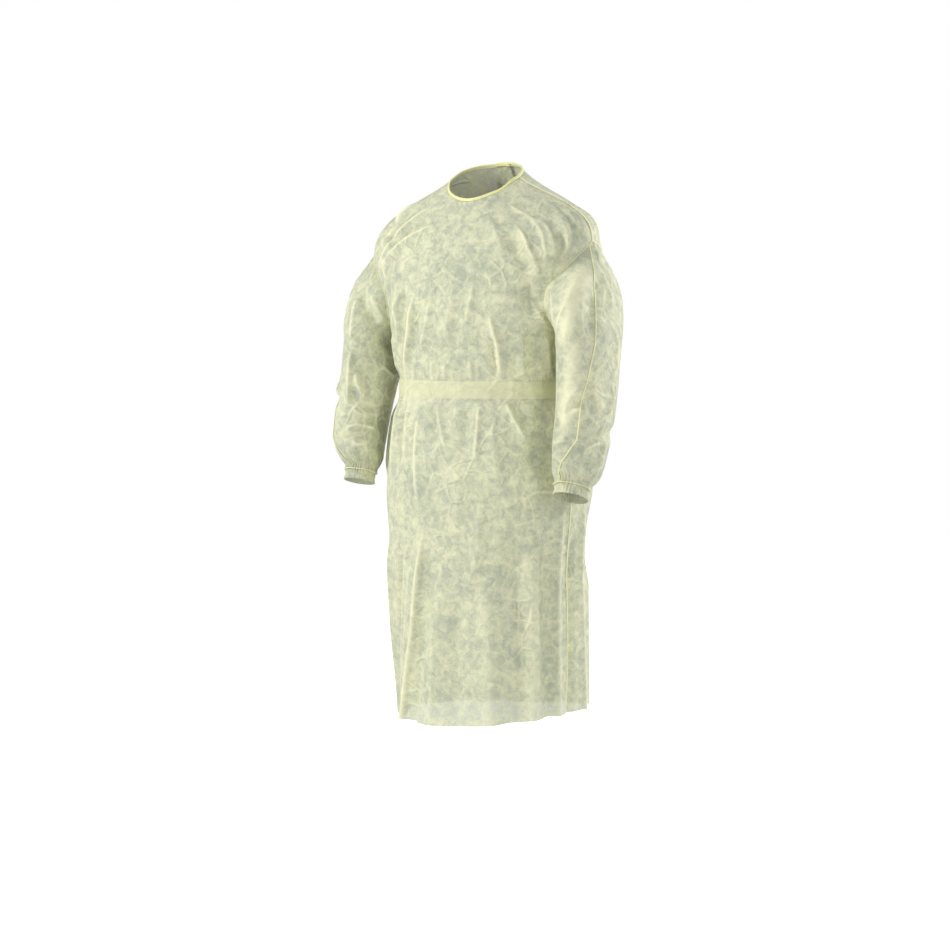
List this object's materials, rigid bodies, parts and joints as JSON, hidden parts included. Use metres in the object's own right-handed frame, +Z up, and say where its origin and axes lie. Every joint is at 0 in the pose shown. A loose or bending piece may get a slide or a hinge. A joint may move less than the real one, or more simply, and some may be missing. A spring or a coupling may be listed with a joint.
{
  "type": "isolation gown",
  "caption": "Long-sleeved protective gown of thin nonwoven cloth in its worn form: open lapped back, gathered cuffs, bound neck, waist belt.",
  "frame": {"origin": "middle of the neck opening at the height of the shoulder seams' neck ends, where a figure or a hanger would hold it", "axes": "+Z up, -Y towards the front, +X towards the wearer's left"},
  "size_m": [0.6862, 0.3976, 1.2415],
  "materials": {
    "cloth": "matte",
    "binding": "matte",
    "belt cloth": "matte"
  },
  "bodies": {
    "root": {"front": "cloth", "back_left": "cloth", "back_right": "cloth", "sleeve_left": "cloth", "sleeve_right": "cloth", "cuff_left": "cloth", "cuff_right": "cloth", "neck_binding": "binding", "neck_knot": "binding", "neck_tail_left": "binding", "neck_tail_right": "binding", "belt": "belt cloth", "belt_knot": "belt cloth", "belt_tail_left": "belt cloth", "belt_tail_right": "belt cloth"}
  },
  "joints": []
}
